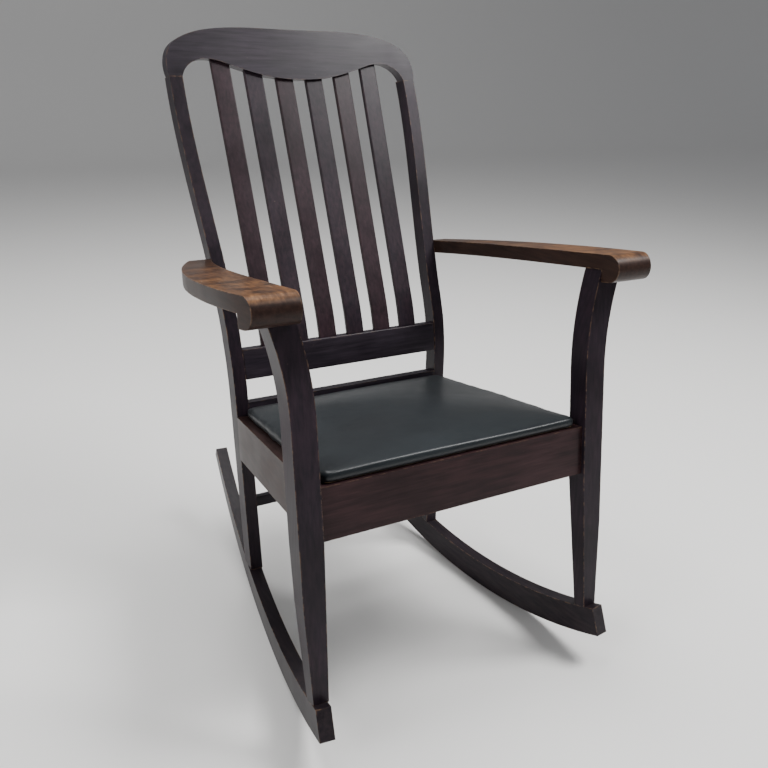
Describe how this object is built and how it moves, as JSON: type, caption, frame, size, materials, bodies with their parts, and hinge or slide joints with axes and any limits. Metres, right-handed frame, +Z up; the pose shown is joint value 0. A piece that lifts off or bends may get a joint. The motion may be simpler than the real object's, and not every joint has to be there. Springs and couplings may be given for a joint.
{
  "type": "rocking chair",
  "caption": "Wooden rocking armchair with a tall slatted back, flared front posts, flat rolled-end arms and a leather slip seat, standing on two curved rockers.",
  "frame": {"origin": "on the floor, at the middle of the chair's overall width and depth", "axes": "+Z up, +X towards the sitter's left arm, -Y the way the sitter faces"},
  "size_m": [0.6882, 0.7938, 1.0372],
  "materials": {
    "dark_wood": "satin, dark stained",
    "arm_wood": "satin, dark stained, worn brown on top",
    "rail_wood": "satin, dark red-brown stained",
    "inner_wood": "raw",
    "leather": "soft satin",
    "padding": "cotton felt",
    "webbing": "woven jute",
    "dust_cloth": "thin woven cloth",
    "steel": "plain"
  },
  "bodies": {
    "root": {"arm_left": "arm_wood", "arm_right": "arm_wood", "arm_screws": "steel", "back_post_left": "dark_wood", "back_post_right": "dark_wood", "back_slat_1": "dark_wood", "back_slat_2": "dark_wood", "back_slat_3": "dark_wood", "back_slat_4": "dark_wood", "back_slat_5": "dark_wood", "back_slat_6": "dark_wood", "corner_block_back_left": "inner_wood", "corner_block_back_right": "inner_wood", "corner_block_front_left": "inner_wood", "corner_block_front_right": "inner_wood", "corner_block_screws": "steel", "crest_rail": "dark_wood", "dust_cover": "dust_cloth", "front_post_left": "dark_wood", "front_post_right": "dark_wood", "lower_back_rail": "dark_wood", "rear_stretcher": "dark_wood", "rocker_dowels": "inner_wood", "rocker_left": "dark_wood", "rocker_right": "dark_wood", "seat_frame_back": "inner_wood", "seat_frame_front": "inner_wood", "seat_frame_left": "inner_wood", "seat_frame_right": "inner_wood", "seat_leather": "leather", "seat_padding": "padding", "seat_rail_back": "rail_wood", "seat_rail_front": "rail_wood", "seat_rail_left": "rail_wood", "seat_rail_right": "rail_wood", "seat_screws": "steel", "webbing_crosswise": "webbing", "webbing_lengthwise": "webbing", "webbing_tacks": "steel"}
  },
  "joints": []
}
